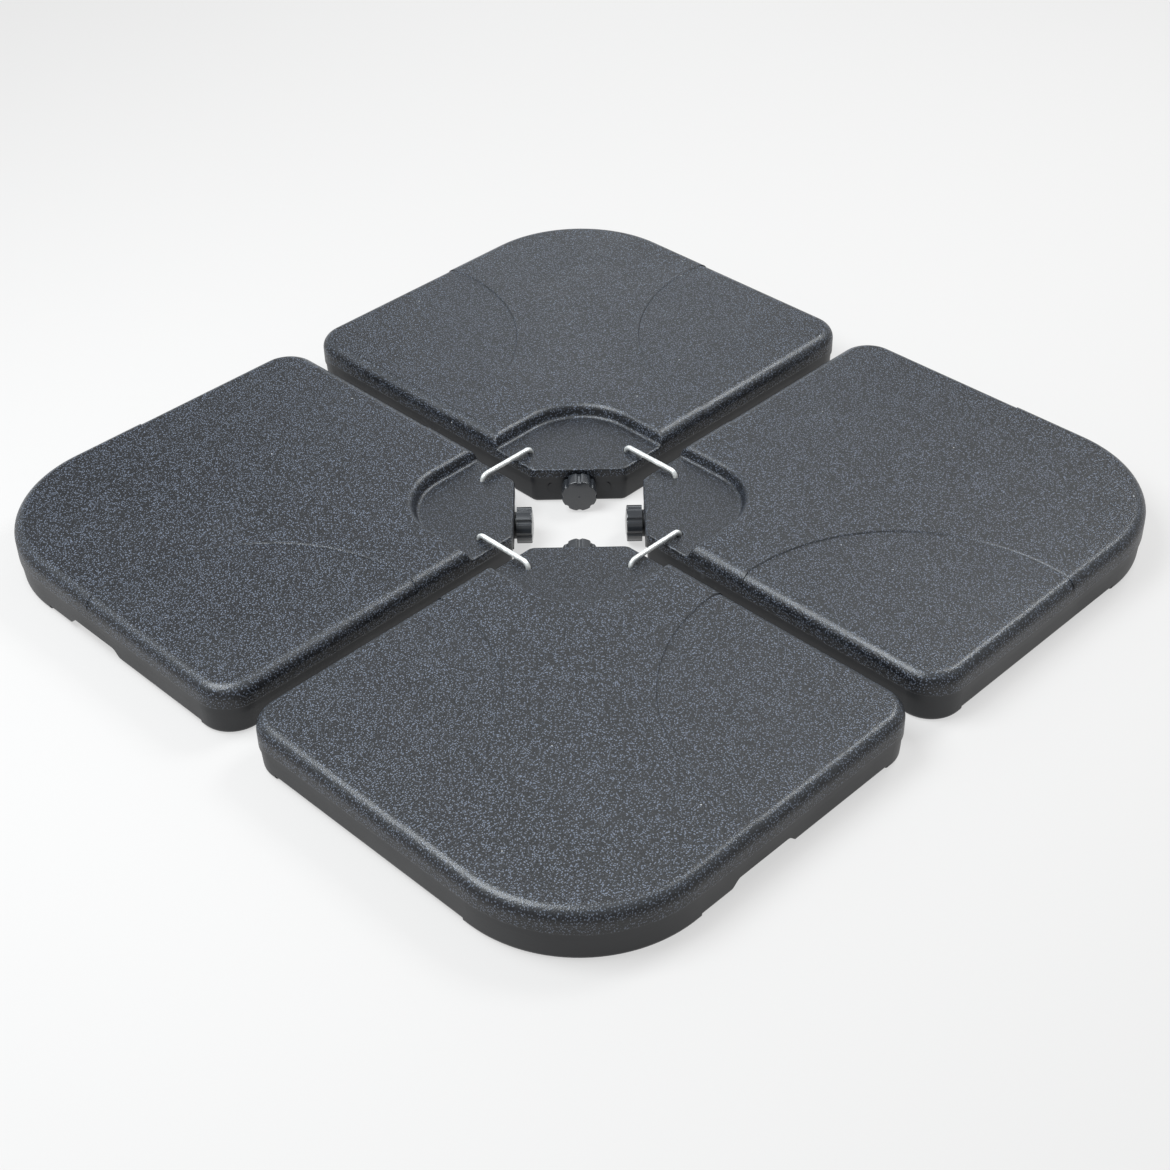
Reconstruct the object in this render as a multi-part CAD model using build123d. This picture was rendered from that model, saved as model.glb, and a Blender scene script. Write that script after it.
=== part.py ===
from build123d import *
import os
from math import radians, sqrt, tan

# Ballast set for a parasol's cross foot: four hollow blow-moulded plates in the four quadrants, a lobed screw
# cap with its seal on each plate's filler neck, the sand in each plate, and four wire clips over the gaps.
# Millimetres. The origin is on the floor at the centre of the set, +Z up, +X and +Y along the gaps.
# Everything is drawn for the plate in the +X +Y quadrant and turned by quarter turns.

os.makedirs("parts", exist_ok=True)

# Plate: plan
plate_side = 500.0
plate_gap = 30.0
big_corner_radius = 158.0
small_corner_radius = 42.0
mast_opening = 154.0           # across the flats between two opposite cut-off corners
mast_corner_radius = 12.0      # where a cut-off corner meets the plate's gap sides

# Plate: section
plate_height = 65.0
plate_wall = 3.0
top_edge_radius = 15.0
parting_height = 30.0
parting_step = 1.2             # the lower half stands in from the upper half
draft_angle = 3.0
bottom_edge_radius = 6.0
foot_height = 3.0
big_foot_length = 165.0
small_foot_length = 48.0
mast_foot_length = 115.0

# Ledge beside the cut-off corner
ledge_side = 143.0             # from the plate's gap sides to the foot of the ledge's walls
ledge_corner_radius = 78.0
ledge_depth = 15.5
ledge_wall_slope = 20.0        # the walls lean out by this from upright
ledge_rim_radius = 9.0
ledge_rim_crop = 0.25          # taken off the top of the rim's rounding, which ends at a faint edge
ledge_foot_radius = 5.0
ledge_edge_radius = 3.0

# Lowered small corners of the top, each bounded by an arc
arc_radius = 235.0
arc_from_gap_side = 14.0
arc_from_outer_side = 40.0
arc_step = 1.5
arc_slope = 1.5                # how wide the step is, seen from above

# Hand grip in the bottom edge of one outer side
grip_from_gap_side = 244.0
grip_width = 108.0
grip_top_width = 76.0
grip_height = 16.0
grip_reach = 35.0
grip_corner_radius = 8.0

# Filler neck on the cut-off corner
neck_height = 24.0
neck_radius = 16.0
neck_bore_radius = 12.5
neck_length = 18.0
neck_root = 4.0
collar_width = 76.0            # the upper half's skin comes down beside the neck
collar_drop = 12.0
collar_corner_radius = 7.0

# Thread on the neck and in the cap
thread_pitch = 5.0
thread_height = 1.2
thread_base = 2.2
thread_crest = 1.2
thread_root = 0.4              # how far a ridge is let into its wall
thread_start = 5.5
neck_thread_end = 2.5          # plain neck left at the lip
cap_thread_end = 5.0

# Cap and seal
cap_skirt = 3.9                # the cap's wall outside its thread
cap_wall = 3.0                 # the cap's end wall
cap_lobes = 8
cap_groove_depth = 1.8
cap_groove_radius = 3.5
cap_groove_edge = 1.2
cap_dome_radius = 110.0
cap_face_edge = 1.2
cap_to_plate = 3.0
seal_thickness = 2.0
thread_clearance = 0.4
seal_clearance = 0.2

# Wire clip and the wells for its legs
wire_radius = 3.0
clip_from_gap = 26.0           # from a plate's gap side to its well
clip_from_cross_gap = 108.0    # from the other gap side
clip_rise = 6.0                # the bar's centre above the ledge
clip_bend_radius = 8.0
clip_leg_depth = 27.0
clip_tip_radius = 1.2
well_clearance = 1.0
well_end_gap = 1.0

# Sand
fill_clearance = 0.5
fill_headspace = 5.0

# Worked out from the sizes above
gap_side = plate_gap / 2
outer_side = gap_side + plate_side
ledge_height = plate_height - ledge_depth
ledge_wall = gap_side + ledge_side
mast_flat = mast_opening / 2
thread_room = neck_radius + thread_height + thread_clearance
cap_radius = thread_room + cap_skirt
neck_thread_turns = (neck_length - neck_thread_end - thread_start) / thread_pitch
cap_thread_turns = (neck_length - cap_thread_end - thread_start) / thread_pitch
clip_span = plate_gap + 2 * clip_from_gap
clip_from_gap_centre = gap_side + clip_from_cross_gap
past = 20.0                    # how far a cutter runs past what it cuts


def outline(inset, cut_off=True):
    """Plan of a plate, moved in by inset, with its inner corner cut off or left square."""
    low = gap_side + inset
    high = outer_side - inset
    cut = sqrt(2) * (mast_flat + inset) - low
    corners = [(high, low), (high, high), (low, high)]
    radii = [small_corner_radius - inset, big_corner_radius - inset, small_corner_radius - inset]
    if cut_off:
        corners = [(cut, low)] + corners + [(low, cut)]
        radii = [mast_corner_radius] + radii + [mast_corner_radius]
    else:
        corners = [(low, low)] + corners
        radii = [small_corner_radius - inset] + radii
    return make_face(FilletPolyline(*corners, radius=radii, close=True))


def ledge_mould(inset):
    """Block over a whole plate with the ledge's pocket cut in its inner corner, rim and foot rounded."""
    top = plate_height - inset + ledge_rim_crop
    floor = ledge_height - inset
    reach = ledge_wall + inset
    lean = (top - floor) * tan(radians(ledge_wall_slope))
    block = extrude(make_face(Polyline((-past, -past), (outer_side + past, -past),
                                       (outer_side + past, outer_side + past),
                                       (-past, outer_side + past), close=True)),
                    amount=top)
    corner = ledge_corner_radius + inset
    pocket_plan = make_face(FilletPolyline((-2 * past, -2 * past), (reach, -2 * past), (reach, reach),
                                           (-2 * past, reach), radius=[0, 0, corner, 0], close=True))
    block -= extrude(Pos(0, 0, floor) * pocket_plan, amount=2 * (top - floor), taper=-ledge_wall_slope)

    def pocket_edges(height, far):
        level = [e for e in block.edges() if abs(e.center().Z - height) < 0.01]
        ends = [e.bounding_box().max for e in level]
        return [e for e, end in zip(level, ends)
                if max(end.X, end.Y) < far + 0.1 and end.X + end.Y > far - past + 0.1]

    block = fillet(pocket_edges(top, reach + lean), ledge_rim_radius - inset)
    return fillet(pocket_edges(floor, reach), ledge_foot_radius + inset)


def rounded_slab(inset, top):
    """The plate's upper half without its ledge, up to the height top."""
    slab = extrude(Pos(0, 0, parting_height) * outline(inset, cut_off=False), amount=top - parting_height)
    return fillet(slab.edges().group_by(Axis.Z)[-1], top_edge_radius - inset)


def upper_half(inset):
    """Upper half, moved in by inset: rounded top edge, ledge, and the two lowered corners."""
    top = plate_height - inset
    first = gap_side + arc_from_gap_side
    second = outer_side - arc_from_outer_side
    radius = arc_radius + inset
    disc = Pos(0, 0, top / 2) * Cylinder(radius, top + past)
    step = Pos(0, 0, top - arc_step) * Cone(radius, radius + 2 * arc_slope, 2 * arc_step,
                                            align=(Align.CENTER, Align.CENTER, Align.MIN))
    places = [Pos(first, second, 0), Pos(second, first, 0)]
    low = rounded_slab(inset, top - arc_step)
    half = rounded_slab(inset, top) & ledge_mould(inset)
    for place in places:
        half = (half - place * (disc + step)) + (low & place * disc)
    return half & extrude(outline(inset), amount=plate_height)


def lower_half(inset, bottom):
    """Lower half, moved in by inset, drafted from the parting line down to the height bottom."""
    plan = Pos(0, 0, parting_height) * outline(parting_step + inset)
    half = extrude(plan, amount=bottom - parting_height, taper=draft_angle)
    return fillet(half.edges().group_by(Axis.Z)[0], bottom_edge_radius - inset)


def corner_block(x, y, length):
    """Square block over one corner of the plate, reaching length along both its sides."""
    toward_x = 1 if x < outer_side / 2 else -1
    toward_y = 1 if y < outer_side / 2 else -1
    size = length + past
    centre = Pos(x + toward_x * (length - past) / 2, y + toward_y * (length - past) / 2, parting_height / 2)
    return centre * Box(size, size, parting_height)


def feet():
    """The four corners of the lower half, standing lower than the straight sides."""
    whole = lower_half(0, 0)
    corners = corner_block(gap_side, gap_side, mast_foot_length)
    corners += corner_block(outer_side, gap_side, small_foot_length)
    corners += corner_block(gap_side, outer_side, small_foot_length)
    corners += corner_block(outer_side, outer_side, big_foot_length)
    return whole & corners


def grip(grow):
    """Hand grip, grown by grow on every side, cut in from the +Y side."""
    centre = gap_side + grip_from_gap_side
    half_low = grip_width / 2 + grow
    half_top = grip_top_width / 2 + grow
    lean = (half_low - half_top) * past / grip_height
    profile = FilletPolyline((centre - half_low - lean, -past), (centre - half_top, grip_height + grow),
                             (centre + half_top, grip_height + grow), (centre + half_low + lean, -past),
                             radius=[0, grip_corner_radius + grow, grip_corner_radius + grow, 0], close=True)
    face = Plane(origin=(0, outer_side + past, 0), x_dir=(1, 0, 0), z_dir=(0, -1, 0)) * make_face(profile)
    return extrude(face, amount=grip_reach + past + grow)


def wells(grow):
    """The two blind wells for the clips' legs, grown by grow."""
    depth = clip_leg_depth + well_end_gap + grow
    bore = Cylinder(wire_radius + well_clearance + grow, depth + past, align=(Align.CENTER, Align.CENTER, Align.MIN))
    first = Pos(clip_from_gap_centre, clip_span / 2, ledge_height - depth) * bore
    second = Pos(clip_span / 2, clip_from_gap_centre, ledge_height - depth) * bore
    return first + second


# The neck's own frame: its origin is on the cut-off corner's face and its Z points out of the plate.
neck_frame = Plane(origin=(mast_flat / sqrt(2), mast_flat / sqrt(2), neck_height),
                   x_dir=(-1, 1, 0), z_dir=(-1, -1, 0))


def tube(radius, start, end):
    """Cylinder along the neck's axis, from start to end in the neck's own frame."""
    return Pos(0, 0, start) * Cylinder(radius, end - start, align=(Align.CENTER, Align.CENTER, Align.MIN))


def ridge(wall_radius, outward, turns, start_angle):
    """Helical thread ridge on a wall: outward 1 on the neck, -1 in the cap."""
    helix = Helix(pitch=thread_pitch, height=turns * thread_pitch, radius=wall_radius)
    root = -outward * thread_root
    tip = outward * thread_height
    profile = make_face(Polyline((root, -thread_base / 2), (tip, -thread_crest / 2), (tip, thread_crest / 2),
                                 (root, thread_base / 2), close=True))
    section = Plane(origin=helix @ 0, x_dir=(1, 0, 0), z_dir=helix % 0) * profile
    return Pos(0, 0, thread_start) * Rot(0, 0, start_angle) * sweep(section, path=helix, is_frenet=True)


def collar():
    """The upper half's skin brought down around the neck, flush with the cut-off corner's face."""
    low = parting_height - collar_drop - neck_height
    high = parting_height - neck_height + 1
    half = collar_width / 2
    profile = FilletPolyline((-half, high), (-half, low), (half, low), (half, high),
                             radius=[0, collar_corner_radius, collar_corner_radius, 0], close=True)
    return extrude(make_face(profile), amount=-plate_wall)


def plate():
    """One ballast plate: a closed hollow moulding with a threaded filler neck."""
    body = upper_half(0) + lower_half(0, foot_height) + feet() - grip(0)
    body += neck_frame * collar()
    edge = [e for e in body.edges() if abs(e.center().Z - ledge_height) < 0.01]
    flat_line = sqrt(2) * mast_flat + mast_corner_radius
    rim = [e for e in edge if e.center().X + e.center().Y < flat_line
           or abs(e.center().X - gap_side) < 0.01 or abs(e.center().Y - gap_side) < 0.01]
    body = fillet(rim, ledge_edge_radius)
    cavity = upper_half(plate_wall) + lower_half(plate_wall, foot_height + plate_wall)
    cavity -= grip(plate_wall) + wells(plate_wall)
    body -= cavity
    body -= wells(0)
    neck = tube(neck_radius, -neck_root, neck_length) + ridge(neck_radius, 1, neck_thread_turns, 0)
    body += neck_frame * neck
    return body - neck_frame * tube(neck_bore_radius, -neck_root - plate_wall, neck_length + 1)


def sand_fill():
    """The sand in one plate, clear of the wall, with a headspace above it."""
    inset = plate_wall + fill_clearance
    sand = upper_half(inset) + lower_half(inset, foot_height + inset)
    level = plate_height - plate_wall - fill_headspace
    sand -= Pos(outer_side / 2, outer_side / 2, level) * Box(
        2 * outer_side, 2 * outer_side, plate_height, align=(Align.CENTER, Align.CENTER, Align.MIN))
    sand -= grip(inset) + wells(inset)
    return sand - neck_frame * tube(neck_radius + fill_clearance, -neck_root - fill_clearance, 0)


def cap():
    """Screw cap, drawn in the neck's frame: its rim is cap_to_plate off the plate's face."""
    inner_end = neck_length + seal_thickness
    outer_end = inner_end + cap_wall
    grooves_at = cap_radius - cap_groove_depth + cap_groove_radius
    grooves = PolarLocations(grooves_at, cap_lobes) * Circle(cap_groove_radius)
    lobed = Circle(cap_radius) - grooves
    lobed = fillet(lobed.vertices(), cap_groove_edge)
    body = extrude(Pos(0, 0, cap_to_plate) * lobed, amount=outer_end - cap_to_plate)
    body &= Pos(0, 0, outer_end - cap_dome_radius) * Sphere(cap_dome_radius)
    body = fillet(body.faces().sort_by(Axis.Z)[-1].edges(), cap_face_edge)
    body -= tube(thread_room, cap_to_plate - 1, inner_end)
    return body + ridge(thread_room, -1, cap_thread_turns, 180)


def cap_seal():
    """Flat rubber washer between the neck's lip and the cap's end wall."""
    outer = neck_radius - seal_clearance
    inner = neck_bore_radius - seal_clearance
    return tube(outer, neck_length, neck_length + seal_thickness) - tube(
        inner, neck_length - 1, neck_length + seal_thickness + 1)


def clip():
    """Wire clip over the gap on the +X axis, with a leg in each neighbour's well."""
    tip = ledge_height - clip_leg_depth
    bar = ledge_height + clip_rise
    half = clip_span / 2
    path = FilletPolyline((clip_from_gap_centre, half, tip), (clip_from_gap_centre, half, bar),
                          (clip_from_gap_centre, -half, bar), (clip_from_gap_centre, -half, tip),
                          radius=clip_bend_radius)
    wire = sweep(Plane(origin=path @ 0, z_dir=path % 0) * Circle(wire_radius), path=path)
    return fillet(wire.edges().group_by(Axis.Z)[0], clip_tip_radius)


quarter_turns = {"front": -90, "right": 0, "back": 90, "left": 180}
clip_names = {"front_left": -90, "front_right": 0, "back_right": 90, "back_left": 180}

one_plate = plate()
one_sand = sand_fill()
one_cap = neck_frame * cap()
one_seal = neck_frame * cap_seal()
one_clip = clip()

for name, angle in quarter_turns.items():
    turn = Rot(0, 0, angle)
    export_step(turn * one_plate, f"parts/plate_{name}.step")
    export_step(turn * one_sand, f"parts/sand_fill_{name}.step")
    export_step(turn * one_cap, f"parts/cap_{name}.step")
    export_step(turn * one_seal, f"parts/cap_seal_{name}.step")
for name, angle in clip_names.items():
    export_step(Rot(0, 0, angle) * one_clip, f"parts/clip_{name}.step")
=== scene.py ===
from math import radians

import bmesh
import bpy
from mathutils import Matrix, Vector


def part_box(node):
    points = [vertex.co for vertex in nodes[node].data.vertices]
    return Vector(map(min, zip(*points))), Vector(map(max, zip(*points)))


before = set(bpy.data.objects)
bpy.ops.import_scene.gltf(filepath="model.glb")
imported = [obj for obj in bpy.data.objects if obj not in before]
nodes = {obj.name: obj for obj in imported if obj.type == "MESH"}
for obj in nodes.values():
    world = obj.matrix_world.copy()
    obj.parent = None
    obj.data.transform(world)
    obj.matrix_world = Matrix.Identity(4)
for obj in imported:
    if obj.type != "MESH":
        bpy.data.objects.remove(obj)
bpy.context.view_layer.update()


# The four ballast plates: hollow blow-moulded boxes of black polyethylene, filled with sand through the neck.
# The mould's upper half carries an etched grain; a smooth band runs above the parting line, and the lower
# half is smooth and a little darker. They stand free on their corner feet, held together by the clips.
quarters = ("front", "right", "back", "left")
plate_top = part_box("plate_front")[1].z
parting_height = 0.030         # the lower half begins here
grain_start = 0.0375           # the smooth band above the parting line ends here
ledge_depth = 0.0155
ledge_top = plate_top - ledge_depth
pip_size = 0.0021
pip_relief = 0.0004
smooth_share = 0.08            # the part of that relief left on the smooth band and the lower half
shoulder_wear = 0.5            # the part of it that is worn off the rounded shoulders
# share of painted shade mixed into the sunk ledge floors
ledge_painted_shade = 0.35


def new_group(name, inputs, outputs):
    """Empty shader node group with named sockets, and its input and output nodes."""
    group = bpy.data.node_groups.new(name, "ShaderNodeTree")
    for label, kind, value in inputs:
        socket = group.interface.new_socket(label, in_out="INPUT", socket_type=kind)
        if value is not None:
            socket.default_value = value
    for label, kind in outputs:
        group.interface.new_socket(label, in_out="OUTPUT", socket_type=kind)
    return group, group.nodes.new("NodeGroupInput"), group.nodes.new("NodeGroupOutput")


def add(tree, kind, **settings):
    """A node in the tree, with its attributes and its unlinked sockets set by name."""
    node = tree.nodes.new(kind)
    for key, value in settings.items():
        if hasattr(node, key):
            setattr(node, key, value)
        else:
            node.inputs[key.replace("_", " ")].default_value = value
    return node


def math_node(tree, operation, first, second=None, clamp=False):
    """A Math node whose inputs are sockets or plain numbers."""
    node = tree.nodes.new("ShaderNodeMath")
    node.operation = operation
    node.use_clamp = clamp
    for index, value in enumerate((first, second)):
        if value is None:
            continue
        if isinstance(value, (int, float)):
            node.inputs[index].default_value = value
        else:
            tree.links.new(value, node.inputs[index])
    return node.outputs[0]


def ramp(tree, value, low, high, out_low=0.0, out_high=1.0):
    """A clamped linear or smooth step of a value."""
    node = tree.nodes.new("ShaderNodeMapRange")
    node.interpolation_type = "SMOOTHSTEP"
    tree.links.new(value, node.inputs["Value"])
    node.inputs["From Min"].default_value = low
    node.inputs["From Max"].default_value = high
    node.inputs["To Min"].default_value = out_low
    node.inputs["To Max"].default_value = out_high
    return node.outputs["Result"]


def mix_colour(tree, factor, first, second):
    """A colour mix whose factor and colours are sockets or plain values."""
    node = tree.nodes.new("ShaderNodeMix")
    node.data_type = "RGBA"
    for index, value in ((0, factor), (6, first), (7, second)):
        if isinstance(value, (int, float, tuple)):
            node.inputs[index].default_value = value
        else:
            tree.links.new(value, node.inputs[index])
    return node.outputs[2]


# Moulding grain: rounded pips etched in the mould, finer ones between them.
grain, g_in, g_out = new_group("moulding_grain", [("Place", "NodeSocketVector", None),
                                                  ("Size", "NodeSocketFloat", pip_size)],
                               [("Height", "NodeSocketFloat"), ("Pips", "NodeSocketFloat")])
grain_scale = math_node(grain, "DIVIDE", 1.0, g_in.outputs["Size"])
pips = add(grain, "ShaderNodeTexVoronoi", feature="SMOOTH_F1", Smoothness=0.6, Randomness=1.0)
fine = add(grain, "ShaderNodeTexNoise", Detail=3.0, Roughness=0.6)
grain.links.new(g_in.outputs["Place"], pips.inputs["Vector"])
grain.links.new(g_in.outputs["Place"], fine.inputs["Vector"])
grain.links.new(grain_scale, pips.inputs["Scale"])
grain.links.new(math_node(grain, "MULTIPLY", grain_scale, 1.7), fine.inputs["Scale"])
pip_height = ramp(grain, pips.outputs["Distance"], 0.12, 0.7, 1.0, 0.0)
height = math_node(grain, "ADD", math_node(grain, "MULTIPLY", pip_height, 0.7),
                   math_node(grain, "MULTIPLY", fine.outputs["Fac"], 0.8))
grain.links.new(height, g_out.inputs["Height"])
grain.links.new(pip_height, g_out.inputs["Pips"])

# Handling marks: faint pale scuffs and specks of dust.
marks, m_in, m_out = new_group("handling_marks", [("Place", "NodeSocketVector", None),
                                                  ("Scuffs", "NodeSocketFloat", 0.5),
                                                  ("Specks", "NodeSocketFloat", 0.5)],
                               [("Scuff", "NodeSocketFloat"), ("Speck", "NodeSocketFloat"),
                                ("Cloud", "NodeSocketFloat")])
cloud = add(marks, "ShaderNodeTexNoise", Scale=9.0, Detail=4.0, Roughness=0.55)
streak = add(marks, "ShaderNodeTexNoise", Scale=160.0, Detail=3.0, Roughness=0.7)
speck = add(marks, "ShaderNodeTexVoronoi", feature="F1", Scale=42.0, Randomness=1.0)
for texture in (cloud, streak, speck):
    marks.links.new(m_in.outputs["Place"], texture.inputs["Vector"])
scuff = math_node(marks, "MULTIPLY", ramp(marks, cloud.outputs["Fac"], 0.52, 0.75),
                  ramp(marks, streak.outputs["Fac"], 0.5, 0.75))
marks.links.new(math_node(marks, "MULTIPLY", scuff, m_in.outputs["Scuffs"]), m_out.inputs["Scuff"])
dot = ramp(marks, speck.outputs["Distance"], 0.02, 0.045, 1.0, 0.0)
pick = add(marks, "ShaderNodeSeparateColor")
marks.links.new(speck.outputs["Color"], pick.inputs[0])
chosen = ramp(marks, pick.outputs[0], 0.74, 0.78)
dot = math_node(marks, "MULTIPLY", dot, chosen)
marks.links.new(math_node(marks, "MULTIPLY", dot, m_in.outputs["Specks"]), m_out.inputs["Speck"])
marks.links.new(cloud.outputs["Fac"], m_out.inputs["Cloud"])


def new_material(name):
    """Node material of that name, with its tree, its shader and the place on the object."""
    material = bpy.data.materials.new(name)
    material.use_nodes = True
    tree = material.node_tree
    place = tree.nodes.new("ShaderNodeTexCoord").outputs["Object"]
    return material, tree, tree.nodes["Principled BSDF"], place


def use_group(tree, group, place, **values):
    """The shared group in this tree, with its place linked and its other inputs set by name."""
    node = tree.nodes.new("ShaderNodeGroup")
    node.node_tree = group
    for key, value in values.items():
        node.inputs[key].default_value = value
    tree.links.new(place, node.inputs["Place"])
    return node


def raise_relief(tree, shader, height, strength, distance):
    """Bump from a height socket, into the shader's normal."""
    relief = add(tree, "ShaderNodeBump", Strength=strength, Distance=distance)
    tree.links.new(height, relief.inputs["Height"])
    tree.links.new(relief.outputs["Normal"], shader.inputs["Normal"])


def dress(prefix, endings, material):
    """Put one material on every CAD node named prefix_ending."""
    for ending in endings:
        slots = nodes[f"{prefix}_{ending}"].data.materials
        slots.clear()
        slots.append(material)


def plate_material():
    """Black polyethylene: etched grain above with painted glints on its pale pips, smooth band and lower half
    below the parting line; painted highlight on the shoulders and painted shade on the sunk ledges.
    """
    material, tree, shader, place = new_material("plate_polyethylene")
    split = tree.nodes.new("ShaderNodeSeparateXYZ")
    tree.links.new(place, split.inputs[0])
    normal = tree.nodes.new("ShaderNodeNewGeometry").outputs["Normal"]
    facing = tree.nodes.new("ShaderNodeSeparateXYZ")
    tree.links.new(normal, facing.inputs[0])

    grained = ramp(tree, split.outputs["Z"], grain_start - 0.001, grain_start + 0.0015)
    lower = ramp(tree, split.outputs["Z"], parting_height - 0.0008, parting_height, 1.0, 0.0)
    shoulder = math_node(tree, "MULTIPLY", ramp(tree, facing.outputs["Z"], 0.45, 0.8),
                         ramp(tree, facing.outputs["Z"], 0.965, 0.995, 1.0, 0.0))

    pips_here = use_group(tree, grain, place, Size=pip_size)
    handled = use_group(tree, marks, place, Scuffs=0.35, Specks=0.9)

    black = (0.004, 0.005, 0.007, 1.0)
    # pale bluish pip colour: partly the grain's own tone, partly painted glints of the lamps on the pips
    grey = (0.115, 0.137, 0.182, 1.0)
    smooth_black = (0.005, 0.006, 0.008, 1.0)
    dust = (0.55, 0.56, 0.56, 1.0)
    pale = (0.16, 0.17, 0.18, 1.0)
    tops = mix_colour(tree, ramp(tree, pips_here.outputs["Pips"], 0.55, 1.0), black, grey)
    # painted highlight: the rounded shoulders are lightened towards the pale grey that also colours the
    # scuffs
    tops = mix_colour(tree, math_node(tree, "MULTIPLY", shoulder, 0.12), tops, pale)
    # painted shade: the upward-facing floors of the sunk ledges are darkened towards the smooth black
    low_enough = ramp(tree, split.outputs["Z"], ledge_top + 0.001, ledge_top + 0.003, 1.0, 0.0)
    ledge = math_node(tree, "MULTIPLY", low_enough, ramp(tree, facing.outputs["Z"], 0.9, 0.99))
    tops = mix_colour(tree, math_node(tree, "MULTIPLY", ledge, ledge_painted_shade), tops, smooth_black)
    body = mix_colour(tree, grained, smooth_black, tops)
    body = mix_colour(tree, math_node(tree, "MULTIPLY", handled.outputs["Scuff"], 0.5), body, pale)
    body = mix_colour(tree, handled.outputs["Speck"], body, dust)
    tree.links.new(body, shader.inputs["Base Color"])

    rough = math_node(tree, "ADD", ramp(tree, handled.outputs["Cloud"], 0.3, 0.7, 0.38, 0.46),
                      math_node(tree, "MULTIPLY", lower, 0.05))
    rough = math_node(tree, "SUBTRACT", rough, math_node(tree, "MULTIPLY", shoulder, 0.06))
    tree.links.new(rough, shader.inputs["Roughness"])
    share = math_node(tree, "ADD", math_node(tree, "MULTIPLY", grained, 1.0 - smooth_share), smooth_share)
    left_on = math_node(tree, "SUBTRACT", 1.0, math_node(tree, "MULTIPLY", shoulder, shoulder_wear))
    share = math_node(tree, "MULTIPLY", share, left_on)
    height = math_node(tree, "MULTIPLY", pips_here.outputs["Height"], share)
    raise_relief(tree, shader, height, 1.0, pip_relief)
    return material


dress("plate", quarters, plate_material())


# The four screw caps: injection-moulded black polypropylene with eight broad lobes, a slightly domed end
# and a smooth satin surface, scuffed along the lobes by turning. Each screws onto its plate's neck.
def cap_material():
    """Satin black polypropylene with pale rubbed edges and faint turning marks."""
    material, tree, shader, place = new_material("cap_polypropylene")
    handled = use_group(tree, marks, place, Scuffs=0.8, Specks=0.2)
    bevel = add(tree, "ShaderNodeBevel", Radius=0.0012)
    bevel.samples = 4
    corner = add(tree, "ShaderNodeVectorMath", operation="DOT_PRODUCT")
    tree.links.new(bevel.outputs["Normal"], corner.inputs[0])
    tree.links.new(tree.nodes.new("ShaderNodeNewGeometry").outputs["Normal"], corner.inputs[1])
    edge = ramp(tree, corner.outputs["Value"], 0.9, 0.995, 1.0, 0.0)
    rub = math_node(tree, "MULTIPLY", edge, ramp(tree, handled.outputs["Cloud"], 0.42, 0.6, 0.15, 0.7))
    body = mix_colour(tree, handled.outputs["Cloud"], (0.016, 0.018, 0.021, 1.0), (0.026, 0.029, 0.034, 1.0))
    body = mix_colour(tree, rub, body, (0.13, 0.14, 0.15, 1.0))
    body = mix_colour(tree, handled.outputs["Scuff"], body, (0.10, 0.11, 0.12, 1.0))
    tree.links.new(body, shader.inputs["Base Color"])
    tree.links.new(ramp(tree, handled.outputs["Cloud"], 0.3, 0.7, 0.20, 0.34), shader.inputs["Roughness"])
    shader.inputs["Coat Weight"].default_value = 0.6
    shader.inputs["Coat Roughness"].default_value = 0.12
    ripple = add(tree, "ShaderNodeTexNoise", Scale=260.0, Detail=2.0, Roughness=0.5)
    tree.links.new(place, ripple.inputs["Vector"])
    raise_relief(tree, shader, ripple.outputs["Fac"], 0.25, 0.0002)
    return material


dress("cap", quarters, cap_material())


# The four cap seals: flat washers punched from black rubber sheet, dull, with a bloom of talc dust. Each is
# pressed between its neck's lip and the cap's end wall, and shows only when the cap is off.
def seal_material():
    """Dull black rubber with a pale bloom."""
    material, tree, shader, place = new_material("seal_rubber")
    bloom = add(tree, "ShaderNodeTexNoise", Scale=120.0, Detail=4.0, Roughness=0.65)
    tree.links.new(place, bloom.inputs["Vector"])
    body = mix_colour(tree, ramp(tree, bloom.outputs["Fac"], 0.45, 0.75), (0.014, 0.014, 0.014, 1.0),
                      (0.055, 0.054, 0.052, 1.0))
    tree.links.new(body, shader.inputs["Base Color"])
    tree.links.new(ramp(tree, bloom.outputs["Fac"], 0.3, 0.7, 0.62, 0.85), shader.inputs["Roughness"])
    raise_relief(tree, shader, bloom.outputs["Fac"], 0.3, 0.0002)
    return material


dress("cap_seal", quarters, seal_material())


# The four wire clips: 6 mm steel rod bent to a staple and hot-dip galvanised, so the zinc is a pale grey,
# mottled and a little rough, darker where it has dulled. Their legs drop into the wells in two plates.
def zinc_material():
    """Galvanised steel: pale zinc, mottled in colour and shine, with fine grit and dull patches."""
    material, tree, shader, place = new_material("galvanised_wire")
    mottle = add(tree, "ShaderNodeTexNoise", Scale=220.0, Detail=4.0, Roughness=0.6)
    grit = add(tree, "ShaderNodeTexNoise", Scale=900.0, Detail=2.0, Roughness=0.5)
    for texture in (mottle, grit):
        tree.links.new(place, texture.inputs["Vector"])
    body = mix_colour(tree, ramp(tree, mottle.outputs["Fac"], 0.35, 0.65), (0.60, 0.62, 0.61, 1.0),
                      (0.86, 0.87, 0.85, 1.0))
    dull = ramp(tree, mottle.outputs["Fac"], 0.62, 0.72)
    body = mix_colour(tree, math_node(tree, "MULTIPLY", dull, 0.5), body, (0.40, 0.41, 0.40, 1.0))
    tree.links.new(body, shader.inputs["Base Color"])
    shader.inputs["Metallic"].default_value = 0.55
    tree.links.new(ramp(tree, mottle.outputs["Fac"], 0.3, 0.7, 0.34, 0.55), shader.inputs["Roughness"])
    raise_relief(tree, shader, grit.outputs["Fac"], 0.35, 0.0001)
    return material


dress("clip", ("front_left", "front_right", "back_right", "back_left"), zinc_material())


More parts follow.
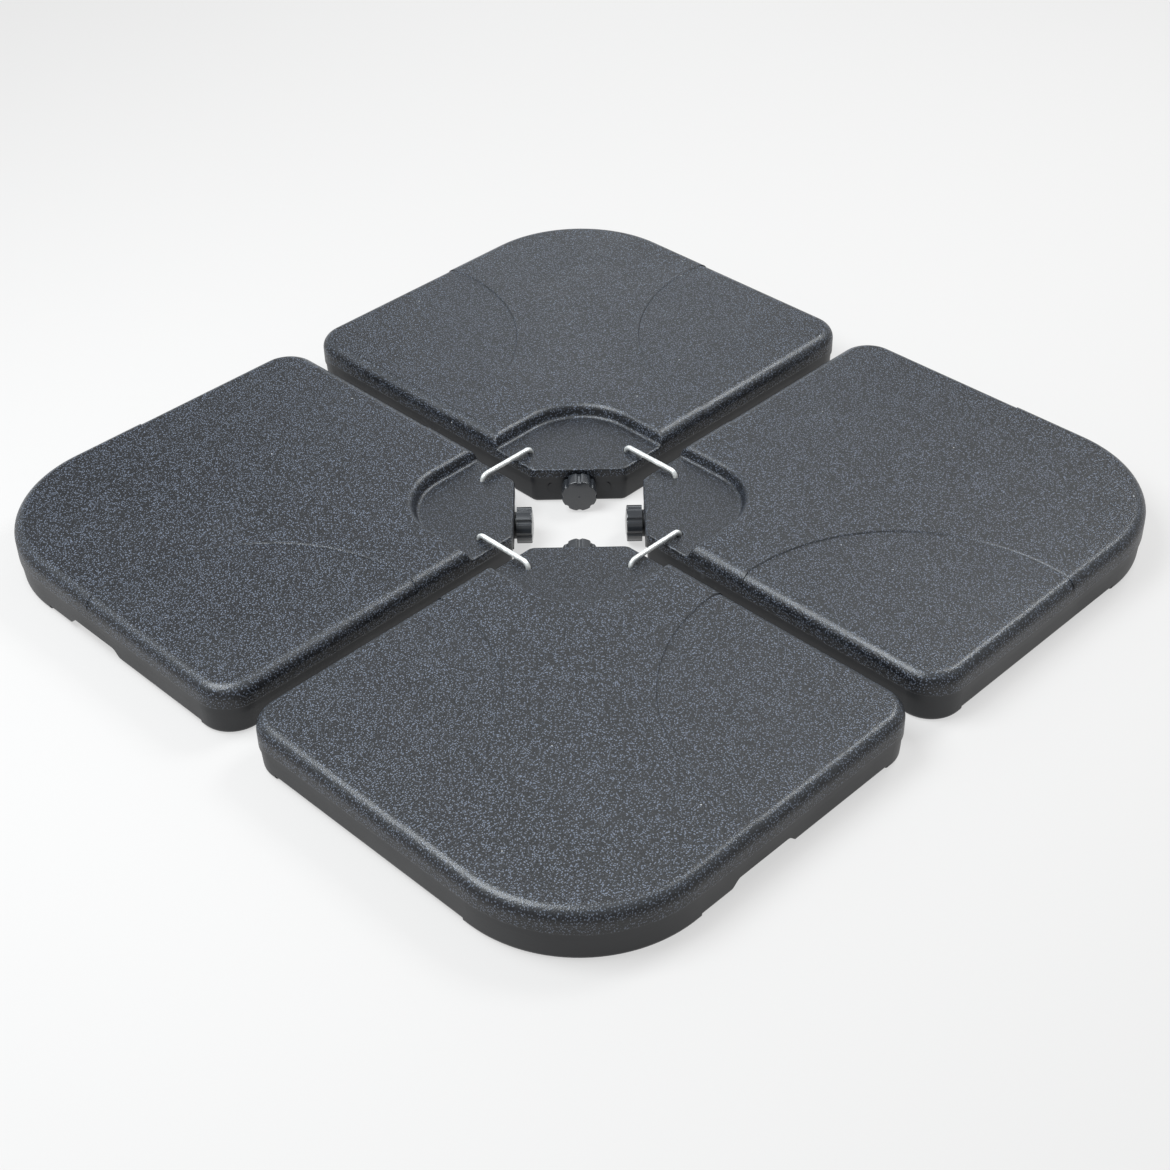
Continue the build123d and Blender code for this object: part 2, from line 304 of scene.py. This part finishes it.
# The sand in each plate: dry washed sand poured in through the neck up to just under the top. It is closed in
# by the plate and shows only through an open neck.
def sand_material():
    """Dry sand: quartz grains of several tans, with dark and pale ones among them."""
    material, tree, shader, place = new_material("dry_sand")
    grains = add(tree, "ShaderNodeTexVoronoi", feature="F1", Scale=900.0, Randomness=1.0)
    damp = add(tree, "ShaderNodeTexNoise", Scale=14.0, Detail=3.0, Roughness=0.5)
    for texture in (grains, damp):
        tree.links.new(place, texture.inputs["Vector"])
    pick = add(tree, "ShaderNodeSeparateColor")
    tree.links.new(grains.outputs["Color"], pick.inputs[0])
    body = mix_colour(tree, pick.outputs[0], (0.42, 0.30, 0.17, 1.0), (0.72, 0.60, 0.42, 1.0))
    body = mix_colour(tree, ramp(tree, pick.outputs[1], 0.9, 0.95), body, (0.10, 0.08, 0.06, 1.0))
    dampness = ramp(tree, damp.outputs["Fac"], 0.55, 0.75, 0.0, 0.4)
    body = mix_colour(tree, dampness, body, (0.30, 0.21, 0.12, 1.0))
    tree.links.new(body, shader.inputs["Base Color"])
    shader.inputs["Roughness"].default_value = 0.9
    raise_relief(tree, shader, grains.outputs["Distance"], 0.8, 0.0006)
    return material


dress("sand_fill", quarters, sand_material())


# The floor: a pale seamless sheet, partly self-lit so that its tone is even and the shadows on it are weak.
floor_half_width = 12.0
paper_glow = 0.59
floor_mesh = bpy.data.meshes.new("floor")
floor_form = bmesh.new()
bmesh.ops.create_grid(floor_form, x_segments=1, y_segments=1, size=floor_half_width)
floor_form.to_mesh(floor_mesh)
floor_form.free()
floor = bpy.data.objects.new("floor", floor_mesh)
bpy.context.scene.collection.objects.link(floor)
floor_paint = bpy.data.materials.new("floor_paper")
floor_paint.use_nodes = True
paper = floor_paint.node_tree.nodes["Principled BSDF"]
paper.inputs["Roughness"].default_value = 0.9
paper.inputs["Base Color"].default_value = (0.18, 0.175, 0.17, 1.0)
paper.inputs["Emission Color"].default_value = (paper_glow, paper_glow, paper_glow, 1.0)
paper.inputs["Emission Strength"].default_value = 1.0
floor_mesh.materials.append(floor_paint)


# The light, as seen from the camera: a key box behind the set on the right, a weak low one straight behind, a
# broad one overhead on the left, and a faint even surround. The plain view transform keeps the floor pale.
def soft_box(name, place, size, power, colour):
    """Square area light aimed at the middle of the object."""
    lamp = bpy.data.lights.new(name, "AREA")
    lamp.shape = "SQUARE"
    lamp.size = size
    lamp.energy = power
    lamp.color = colour
    stand = bpy.data.objects.new(name, lamp)
    stand.location = place
    stand.rotation_mode = "QUATERNION"
    stand.rotation_quaternion = Vector(place).to_track_quat("Z", "Y")
    bpy.context.scene.collection.objects.link(stand)


soft_box("key_box", (0.3, 1.7, 2.2), 0.9, 42, (0.95, 0.98, 1.0))
soft_box("far_box", (-1.7, 1.7, 1.2), 1.2, 8, (0.91, 0.96, 1.0))
soft_box("top_box", (-0.45, -0.95, 2.0), 1.3, 70, (0.91, 0.96, 1.0))
world = bpy.data.worlds.new("studio")
bpy.context.scene.world = world
world.use_nodes = True
world.node_tree.nodes["Background"].inputs["Color"].default_value = (1.0, 1.0, 1.0, 1.0)
world.node_tree.nodes["Background"].inputs["Strength"].default_value = 0.40
bpy.context.scene.view_settings.view_transform = "Standard"

# The camera: to the front right of the set, a little above, with a long lens.
lens = bpy.data.cameras.new("camera")
lens.sensor_width = 36.0
lens.lens = 63.63
lens.shift_x = -0.0002
lens.shift_y = 0.0069
camera = bpy.data.objects.new("camera", lens)
bpy.context.scene.collection.objects.link(camera)
camera_round = radians(45.494)
camera_above = radians(38.298)
camera_roll = radians(-1.364)
camera_offset = Vector((0.00637, -0.06299, 2.4669))     # right, up and back, in the camera's own axes
turned = (Matrix.Rotation(camera_round, 4, "Z") @ Matrix.Rotation(radians(90) - camera_above, 4, "X")
          @ Matrix.Rotation(camera_roll, 4, "Z"))
camera.matrix_world = Matrix.Translation(turned @ camera_offset) @ turned
bpy.context.scene.camera = camera
